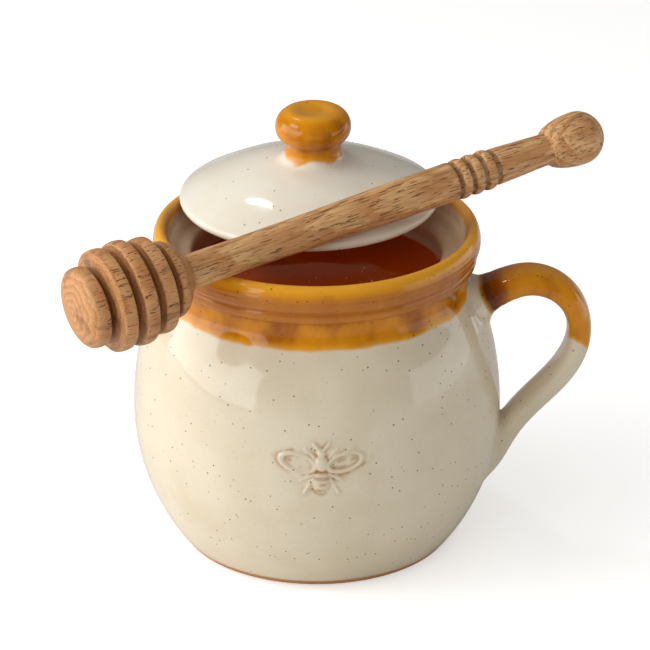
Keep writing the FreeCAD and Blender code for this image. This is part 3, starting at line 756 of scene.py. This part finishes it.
# %% Outline of rod, beads and grip
def dipper_outline():
    """Outline (radius, distance from the tip): the head, the rod, its beads and the grip."""
    before = np.array([ROD_R_COLLAR, COLLAR_START - COLLAR_CUT])
    runs = head_outline() + [bezier([(ROD_R_HEAD, ROD_START), (ROD_R_HEAD - 0.5, ROD_START + 25),
                                     (ROD_R_COLLAR - 0.2, COLLAR_START - 35), before], 90)[1:]]
    for i in range(COLLAR_BEADS + 1):
        z, last = COLLAR_START + i * COLLAR_PITCH, i == COLLAR_BEADS
        after = np.array([COLLAR_R - (0.55 if last else 0.25), z + COLLAR_CUT])
        cut = COLLAR_CUT * 0.7
        runs += [bezier([before, (COLLAR_GROOVE_R, z - cut), (COLLAR_GROOVE_R, z)], 7)[1:],
                 bezier([(COLLAR_GROOVE_R, z), (COLLAR_GROOVE_R, z + cut), after], 7)[1:]]
        if not last:
            before = after + np.array([0, COLLAR_PITCH - 2 * COLLAR_CUT])
            runs.append(bezier([after, (COLLAR_R + 0.25, z + COLLAR_PITCH / 2), before], 9)[1:])
    widest, end = GRIP_NECK_AT + GRIP_LENGTH * GRIP_WIDEST, GRIP_NECK_AT + GRIP_LENGTH
    runs += [bezier([after, after + (0, 4), (GRIP_NECK_R, GRIP_NECK_AT - 4), (GRIP_NECK_R, GRIP_NECK_AT)], 20)[1:],
             bezier([(GRIP_NECK_R, GRIP_NECK_AT), (GRIP_R - 1.0, GRIP_NECK_AT + 1.2),
                     (GRIP_R, widest - 4), (GRIP_R, widest)], 20)[1:],
             bezier([(GRIP_R, widest), (GRIP_R, end - 3.4), (GRIP_R * 0.55, end), (0, end)], 24)[1:-1]]
    return np.concatenate(runs)


stick = dipper_outline()
print("dipper profile points", len(stick))

# %% [markdown]
# The stick is worked out standing on its tip, then laid across rim and lid. Each point keeps
# where it was in the standing stick, because wood grain runs along the stick, whichever way
# it lies. A second value marks the grooves, which are painted darker as shade.

# %% The stick
def place_dipper(points):
    """From the stick's own axis to its place across rim and lid."""
    shifted = points - np.array([0, 0, ROD_START])
    return turned_about(turned_about(shifted, "y", math.pi / 2 - DIPPER_PITCH), "z", DIPPER_YAW) + DIPPER_AT


phi, stick_r, stick_z = turned(stick, even_turn(128))
grain = at_angle(phi, stick_r, stick_z)
in_head = (stick_z > TIP_DISC_END) & (stick_z < ROD_START - 5)
in_collar = (stick_z > COLLAR_START - COLLAR_CUT) & (stick_z < COLLAR_END + COLLAR_CUT)
# Painted shade: the grooves of the head and of the beads are darkened.
sunk = np.maximum(in_head * np.clip((10.5 - stick_r) / 3.5, 0, 1), in_collar * np.clip((5.5 - stick_r) / 0.5, 0, 1))
stick_ends = np.array([(0, 0, 0), (0, 0, GRIP_NECK_AT + GRIP_LENGTH)])
dipper = grid_piece("dipper_stick", place_dipper(grain) * MM, place_dipper(stick_ends) * MM,
                    {"grain": grain / 100, "sunk": sunk})

# %% [markdown]
# ## Finishes
# A finish is a small network of nodes on one Principled shader. It could be put together by
# hand in the Shader Editor. Each helper below adds one kind of node and hands back its
# output, so that a finish reads like a recipe and two glazes can share one.

# %% Colours
def linear(red, green, blue):
    """Colour from 0-255 as screens show it, turned into the linear light that the shader adds up."""
    shown = np.array([red, green, blue]) / 255
    light = np.where(shown <= 0.04045, shown / 12.92, ((shown + 0.055) / 1.055) ** 2.4)
    return (*light.tolist(), 1.0)


print("middle grey as light", round(linear(128, 128, 128)[0], 3))


# %% Node helpers
class Finish:
    """A material, its node tree and its one Principled shader."""

    def __init__(self, name):
        self.material = bpy.data.materials.new(name)
        self.material.use_nodes = True
        self.tree = self.material.node_tree
        self.shader = self.tree.nodes["Principled BSDF"]

    def put(self, socket, value):
        """Set a value, or join an output, on an input."""
        if isinstance(value, bpy.types.NodeSocket):
            self.tree.links.new(value, socket)
        else:
            socket.default_value = value

    def node(self, kind, values=None, **settings):
        """Add one node, with its settings, and its inputs by place or name."""
        made = self.tree.nodes.new(kind)
        for key, value in settings.items():
            setattr(made, key, value)
        for key, value in (values or {}).items():
            self.put(made.inputs[key], value)
        return made

    def math(self, operation, a, b=0.0):
        """One sum, product or comparison of two values."""
        return self.node("ShaderNodeMath", {0: a, 1: b}, operation=operation).outputs[0]

    def spread(self, value, low, high, to_low=0.0, to_high=1.0):
        """Map a value from one span to another with soft ends."""
        return self.node("ShaderNodeMapRange", {0: value, 1: low, 2: high, 3: to_low, 4: to_high},
                         interpolation_type="SMOOTHSTEP").outputs[0]

    def mix(self, share, a, b):
        """Blend two colours."""
        return self.node("ShaderNodeMix", {0: share, 6: a, 7: b}, data_type="RGBA").outputs[2]

    def noise(self, place, scale, detail=3.0, rough=0.5):
        """Cloudy noise from 0 to 1."""
        return self.node("ShaderNodeTexNoise", {"Vector": place, "Scale": scale, "Detail": detail,
                                                "Roughness": rough}).outputs[0]

    def value(self, name):
        """A number kept on the points of the piece."""
        return self.node("ShaderNodeAttribute", attribute_name=name).outputs["Fac"]

    def stretched(self, place, size):
        """The same place with each axis scaled."""
        return self.node("ShaderNodeMapping", {"Vector": place, "Scale": size}).outputs[0]

    def place(self):
        """Where a point is in the piece's own frame, in metres."""
        return self.node("ShaderNodeTexCoord").outputs["Object"]

    def bump(self, height, distance):
        """Fine relief in the skin, too small for the mesh."""
        made = self.node("ShaderNodeBump", {"Height": height, "Distance": distance, "Strength": 1.0})
        self.put(self.shader.inputs["Normal"], made.outputs[0])

    def set(self, **inputs):
        """Set or join the shader's own inputs, with _ for a space."""
        for key, value in inputs.items():
            self.put(self.shader.inputs[key.replace("_", " ")], value)


print("helpers", [name for name in vars(Finish) if not name.startswith("_")])

# %% [markdown]
# ## The glaze
# Glaze is glass melted on to iron-speckled clay. The whole pot is dipped in cream glaze, then
# rim, knob and handle are dipped in amber. Where amber runs thin, over crests and at its
# lower edge, it is pale, and where it gathers, in grooves and at the handle's root, it is
# dark; on crests and in hollows this is also painted highlight and painted shade. In the band
# under the rim a browner tone is painted in as the reflection of the pale table. An image
# could hold all this, but would have to be fitted round the pot. Noise on Object coordinates
# needs no fitting, and the values on the points say where crest, reflection band, dip and bare
# foot lie.

# %% Colours of the glazes
CREAM, CREAM_WARM = linear(229, 216, 191), linear(222, 208, 180)
# A paler copy of the cream for the lid: painted light on its top-facing dome.
LID_CREAM_LIT, LID_CREAM_WARM_LIT = linear(243, 236, 220), linear(238, 229, 209)
# Tan of gathered glaze, also used as painted shade round the bee's relief.
TAN_POOL_AND_SHADE = linear(172, 122, 66)
# Thin amber is also painted highlight on crests; deep and dark amber on the next line also paint shade in hollows.
AMBER, AMBER_THIN_AND_SHEEN = linear(217, 138, 3), linear(240, 172, 50)
# The third amber on this line is a painted reflection of the pale table under the rim.
AMBER_DEEP, AMBER_DARK, AMBER_TABLE_REFLECTION = linear(160, 84, 1), linear(96, 44, 4), linear(176, 102, 34)
CLAY, CLAY_DARK = linear(206, 154, 96), linear(182, 130, 78)
IRON = linear(74, 50, 26)
print("amber as light", [round(part, 3) for part in AMBER[:3]])

# %% [markdown]
# Iron grains in the clay bleed through as small brown specks, a few large ones and many
# fine ones. Dots could be scattered as small discs. A Voronoi texture gives a centre in each
# cell of space, and a speck shows only where such a centre lies close to the skin, so the
# specks are uneven in size and place, as real ones are.

# %% Specks
COARSE_SPECK, FINE_SPECK, FINE_CLOSER = 0.00026, 0.00010, 2.2


def specks(finish, place, cell, size):
    """Specks where a cell's centre lies near the skin: 1 on a speck, 0 between."""
    cells = finish.node("ShaderNodeTexVoronoi", {"Vector": place, "Scale": 1 / cell, "Randomness": 1.0})
    ragged = finish.math("ADD", finish.math("MULTIPLY", cells.outputs["Distance"], cell),
                         finish.math("MULTIPLY", finish.noise(place, 6000.0), size * 0.5))
    return finish.spread(ragged, size * 1.35, size * 0.95)


def speckled(finish, place, colour, gap, fine_share):
    """The colour with coarse and fine iron specks in it."""
    coarse = finish.math("MULTIPLY", specks(finish, place, gap, COARSE_SPECK), 0.9)
    fine = finish.math("MULTIPLY", specks(finish, place, gap / FINE_CLOSER, FINE_SPECK), fine_share)
    return finish.mix(finish.math("MAXIMUM", coarse, fine), colour, IRON)


print("specks up to", round(2 * COARSE_SPECK / MM, 2), "and", round(2 * FINE_SPECK / MM, 2), "mm across")


# %% Cream and amber
def cream_colour(finish, place, cloud, pale, warm):
    """Cream glaze in two close tones, tan where it pools and as painted shade round the bee's relief."""
    cream = finish.mix(finish.spread(cloud, 0.35, 0.7), pale, warm)
    patchy = finish.spread(finish.noise(place, 260.0), 0.36, 0.60)
    return finish.mix(finish.math("MULTIPLY", finish.value("pooled"), patchy), cream, TAN_POOL_AND_SHADE)


def amber_colour(finish, place, edge):
    """Amber glaze, from dark where it is deep to pale where it is thin, with painted shade in hollows, painted
    highlight on crests and a painted reflection of the pale table under the rim; the edge is its height over the
    line.
    """
    # Above 0 on crests: thin glaze and painted highlight. Below 0 in hollows: gathered glaze and painted shade.
    crest = finish.value("crest")
    streaks = finish.noise(finish.stretched(place, (1.0, 1.0, 0.7)), 130.0, 4.0)
    depth = finish.math("ADD", streaks, finish.math("MULTIPLY", crest, 0.22))
    amber = finish.mix(finish.spread(depth, 0.16, 0.60), AMBER_DEEP, AMBER)
    amber = finish.mix(finish.spread(depth, -0.15, 0.25), AMBER_DARK, amber)
    thin = finish.math("MAXIMUM", finish.spread(depth, 0.56, 0.95), finish.spread(crest, 0.0, 0.8, 0.0, 0.7))
    amber = finish.mix(thin, amber, AMBER_THIN_AND_SHEEN)
    # Painted reflection of the pale table, mixed into the amber in the band under the rim.
    table_reflection = finish.math("MULTIPLY", finish.value("collar"), finish.spread(streaks, 0.9, 0.3, 0.6, 0.95))
    amber = finish.mix(table_reflection, amber, AMBER_TABLE_REFLECTION)
    lower_edge = finish.math("MULTIPLY", finish.spread(edge, 1.9, 0.2), 0.55)
    return finish.mix(lower_edge, amber, AMBER_THIN_AND_SHEEN)


print("tones of amber", len({AMBER, AMBER_THIN_AND_SHEEN, AMBER_DEEP, AMBER_DARK, AMBER_TABLE_REFLECTION}))


# %% The whole glaze
def glaze(name, pale, warm, speck_gap, fine_share):
    """Cream and amber glaze over clay, driven by the values kept on the points."""
    finish = Finish(name)
    place = finish.place()
    cloud, fine = finish.noise(place, 60.0, 4.0), finish.noise(place, 420.0)
    uneven = finish.math("MULTIPLY", finish.math("SUBTRACT", finish.noise(place, 150.0, 1.0), 0.5), 1.4)
    edge = finish.math("ADD", finish.value("dip"), uneven)
    amber_share = finish.spread(edge, -0.55, 0.55)
    colour = finish.mix(amber_share, cream_colour(finish, place, cloud, pale, warm),
                        amber_colour(finish, place, edge))
    colour = speckled(finish, place, colour, speck_gap, fine_share)
    bare = finish.spread(finish.value("bare"), -0.25, 0.25)
    clay = finish.mix(fine, CLAY, CLAY_DARK)
    finish.set(Base_Color=finish.mix(bare, colour, clay), IOR=1.52,
               Roughness=finish.spread(bare, 0.0, 1.0, 0.085, 0.75),
               Specular_IOR_Level=finish.spread(amber_share, 0.0, 1.0, 0.5, 0.36))
    finish.bump(finish.math("ADD", cloud, finish.math("MULTIPLY", fine, 0.05)), 0.00016)
    return finish.material


pot_glaze = glaze("stoneware_glaze", CREAM, CREAM_WARM, 0.0026, 0.65)
lid_glaze = glaze("lid_glaze", LID_CREAM_LIT, LID_CREAM_WARM_LIT, 0.0036, 0.45)
for piece, finish in ((pot_body, pot_glaze), (pot_handle, pot_glaze), (lid, lid_glaze)):
    piece.data.materials.append(finish)
print("nodes in a glaze", len(pot_glaze.node_tree.nodes))

# %% [markdown]
# ## Honey and bubbles
# Honey is clear and deep amber, and light that goes in comes back red-brown. Real glass-like
# transmission would show the empty pot below and take long to render. An opaque skin in the
# colour of deep honey, very smooth and with a weak mirror, looks much the same from above.
# The bubbles are the same liquid in a thin, paler film.

# %% Honey and bubble film
finish = Finish("honey_skin")
place = finish.place()
finish.set(Base_Color=finish.mix(finish.noise(place, 25.0), linear(190, 62, 0), linear(208, 84, 2)),
           Roughness=0.03, IOR=1.49, Specular_IOR_Level=0.16)
finish.bump(finish.noise(place, 40.0), 0.0003)
honey.data.materials.append(finish.material)
finish = Finish("bubble_film")
film = finish.mix(finish.noise(finish.place(), 500.0), linear(214, 140, 66), linear(250, 206, 140))
finish.set(Base_Color=film, Roughness=0.05, IOR=1.49)
bubbles.data.materials.append(finish.material)
print("finishes", honey.active_material.name, bubbles.active_material.name)

# %% [markdown]
# ## Wood
# The wood is a pale hardwood with open pores. An image wrapped round it would bend at the
# discs. Here the pattern fills the space of the standing stick and the lathe only cuts into
# it: a disc shows rings on its face and long streaks on its side. The yearly layers lie
# round the tree's heart, a line that starts at the stick's tip and leans slowly away from
# its axis. Fibres, pores and dark veins are noise drawn out along the stick.

# %% Layers of the wood
WOOD_LIGHT, WOOD_MID = linear(238, 192, 134), linear(206, 152, 96)
WOOD_DARK, WOOD_RED = linear(96, 54, 26), linear(180, 104, 46)
LAYER_MM, HEART_SIDE, HEART_LEAN = 2.1, (0.48, 0.88), 0.075

wood = Finish("turned_wood")
grain_at = wood.node("ShaderNodeAttribute", attribute_name="grain").outputs["Vector"]
from_tip = wood.node("ShaderNodeSeparateXYZ", {0: grain_at}).outputs[2]
lean = wood.math("MULTIPLY", from_tip, HEART_LEAN)
heart = wood.node("ShaderNodeCombineXYZ", {0: wood.math("MULTIPLY", lean, HEART_SIDE[0]),
                                           1: wood.math("MULTIPLY", lean, HEART_SIDE[1])}).outputs[0]
off_heart = wood.node("ShaderNodeVectorMath", {0: wood.stretched(grain_at, (1.0, 1.0, 0.0)), 1: heart},
                      operation="SUBTRACT").outputs["Vector"]
from_heart = wood.node("ShaderNodeVectorMath", {0: off_heart}, operation="LENGTH").outputs["Value"]
wobble = wood.noise(wood.stretched(grain_at, (1.0, 1.0, 0.30)), 12.0)
ring_at = wood.math("ADD", from_heart, wood.math("MULTIPLY", wobble, 0.05))
ring = wood.math("FRACT", wood.math("MULTIPLY", ring_at, 100 / LAYER_MM))
ring = wood.math("MULTIPLY", wood.spread(ring, 0.15, 0.85), wood.spread(ring, 1.0, 0.9))
print("one layer every", LAYER_MM, "mm")


# %% Fibres, pores and veins
def drawn_out(share):
    """The place in the stick, pressed together along it, so that a pattern on it is drawn out."""
    return wood.stretched(grain_at, (1.0, 1.0, share))


fibre = wood.noise(drawn_out(0.09), 150.0, 5.0, 0.7)
pores = wood.spread(wood.noise(drawn_out(0.09), 260.0, 2.0), 0.60, 0.65)
vein = wood.spread(wood.noise(drawn_out(0.05), 90.0, 3.0, 0.6), 0.56, 0.68)
patch = wood.spread(wood.noise(drawn_out(0.22), 9.0, 4.0, 0.6), 0.54, 0.66)
redder = wood.math("MULTIPLY", wood.spread(from_tip, 0.40, 0.30), 0.75)
LAYERS_OF_COLOUR = (
    (wood.math("MULTIPLY", ring, 0.50), WOOD_RED),
    (wood.math("MULTIPLY", redder, wood.spread(fibre, 0.30, 0.75)), WOOD_RED),
    (wood.math("MULTIPLY", vein, wood.spread(from_tip, 0.02, 0.06, 0.05, 0.45)), WOOD_DARK),
    (wood.math("MULTIPLY", patch, wood.spread(fibre, 0.7, 0.3, 0.2, 0.75)), WOOD_DARK),
    (wood.math("MULTIPLY", pores, wood.spread(from_tip, 0.022, 0.05, 0.1, 0.8)), WOOD_DARK),
    # painted shade in the grooves
    (wood.math("MULTIPLY", wood.value("sunk"), 0.55), WOOD_DARK))
colour = wood.mix(wood.spread(fibre, 0.3, 0.7), WOOD_MID, WOOD_LIGHT)
for share_of, tone in LAYERS_OF_COLOUR:
    colour = wood.mix(share_of, colour, tone)
wood.set(Base_Color=colour, Roughness=wood.spread(fibre, 0.2, 0.8, 0.55, 0.42), IOR=1.45)
wood.bump(wood.math("SUBTRACT", fibre, pores), 0.00012)
dipper.data.materials.append(wood.material)
print("wood", wood.material.name, "in", len(LAYERS_OF_COLOUR) + 1, "tones")

# %% [markdown]
# ## Ties to the frame
# Every piece rides on the one body of the part, and the node of the construction that it
# stands for is hidden. Parenting by hand could do the first. The helpers at the top of the
# script do both. Each row of the table also names a material slot.

# %% Pieces and nodes
TIES = ((pot_body, "pot", "pot_glaze"), (pot_handle, "pot", "pot_glaze"), (lid, "lid", "lid_glaze"),
        (honey, "honey", "honey"), (bubbles, None, "honey"), (dipper, "dipper", "dipper_wood"))
for piece, node, slot in TIES:
    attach(piece, "root")
    if node:
        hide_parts(node)
print("tied", [piece.name for piece, _, _ in TIES])

# %% [markdown]
# ## Floor, light and camera
# The pot stands on a pale table in a white room. More light would make the table white, but
# would bleach the glaze too. So the table glows a little for the camera only, and still
# takes the pot's shadow.

# %% Floor
floor_mesh = bpy.data.meshes.new("floor")
floor_mesh.from_pydata([(-3, -3, 0), (3, -3, 0), (3, 3, 0), (-3, 3, 0)], [], [(0, 1, 2, 3)])
floor = bpy.data.objects.new("floor", floor_mesh)
scene.collection.objects.link(floor)
finish = Finish("pale_table")
seen = finish.node("ShaderNodeLightPath").outputs["Is Camera Ray"]
finish.set(Base_Color=linear(238, 237, 235), Roughness=0.9, Emission_Color=(1.0, 1.0, 1.0, 1.0),
           Emission_Strength=finish.math("MULTIPLY", seen, 0.5))
floor.data.materials.append(finish.material)
print("floor", tuple(floor.dimensions))

# %% [markdown]
# The room itself gives a little even light, so that no shadow is black. To the camera it is
# plain white. A sky texture would tint the glaze, so the room has no colour.

# %% Room
ROOM = 0.17
world = bpy.data.worlds.new("white_room")
scene.world = world
world.use_nodes = True
tree = world.node_tree
backdrop = tree.nodes["Background"]
path_node = tree.nodes.new("ShaderNodeLightPath")
bright = tree.nodes.new("ShaderNodeMapRange")
tree.links.new(path_node.outputs["Is Camera Ray"], bright.inputs[0])
bright.inputs[3].default_value = ROOM
bright.inputs[4].default_value = 1.0
tree.links.new(bright.outputs[0], backdrop.inputs["Strength"])
backdrop.inputs["Color"].default_value = (1, 1, 1, 1)
print("room light", ROOM)

# %% [markdown]
# Glaze shows its gloss by what it mirrors. A tall softbox at the left and a weaker card at
# the right show in it as clear patches, and two smaller lights high up give the bright spots
# on lid and knob. Sun lamps would give hard points instead. The fill and the ceiling light
# lift the shadows and are kept out of the mirror, so they add no patches of their own.

# %% Lights
MIDDLE = Vector((0, 0, 0.06))


def soft_light(name, azimuth, rise, distance, size, power, shape="RECTANGLE", shows=True):
    """Flat light that faces the pot: azimuth from the camera, right positive, and rise in degrees."""
    data = bpy.data.lights.new(name, "AREA")
    data.shape = shape
    data.size, data.size_y = size
    data.energy = power
    light = bpy.data.objects.new(name, data)
    scene.collection.objects.link(light)
    turn, lift = math.radians(azimuth), math.radians(rise)
    light.location = Vector((math.sin(turn) * math.cos(lift), -math.cos(turn) * math.cos(lift),
                             math.sin(lift))) * distance + MIDDLE
    light.rotation_euler = (MIDDLE - light.location).to_track_quat("-Z", "Y").to_euler()
    light.visible_glossy = shows


soft_light("left_softbox", -74, 12.7, 0.72, (1.10, 0.41), 4.1)
soft_light("right_card", 94, 2.7, 0.42, (0.60, 0.15), 0.34)
soft_light("back_window", -145, 57, 1.0, (0.05, 0.26), 0.45, "ELLIPSE")
soft_light("left_high", -76, 42, 0.9, (0.45, 0.32), 1.6, "ELLIPSE")
soft_light("front_fill", -4, 34, 1.35, (1.2, 0.8), 3.3, shows=False)
soft_light("ceiling", -90, 72, 1.3, (1.6, 1.6), 5.6, shows=False)

# %% [markdown]
# The camera looks down on the pot by about 25 degrees, so that honey, lid and belly all
# show. It stands well back with a long lens, because a near one would swell the belly. A
# Track To constraint could aim it. Its turn is worked out once instead, and stays as it is.

# %% Camera
camera = bpy.data.objects.new("camera", bpy.data.cameras.new("camera"))
scene.collection.objects.link(camera)
camera.data.sensor_width = 36
camera.data.lens = 195.5
camera.data.clip_start = 0.05
camera.location = (0.0, -0.9036, 0.4785)
aim = Vector((0.0023, 0.0049, 0.0604)) - camera.location
camera.rotation_euler = aim.to_track_quat("-Z", "Y").to_euler()
scene.camera = camera
scene.view_settings.view_transform = "Standard"
print("camera looks down by", round(math.degrees(math.asin(-aim.normalized().z)), 2), "degrees")

# %% [markdown]
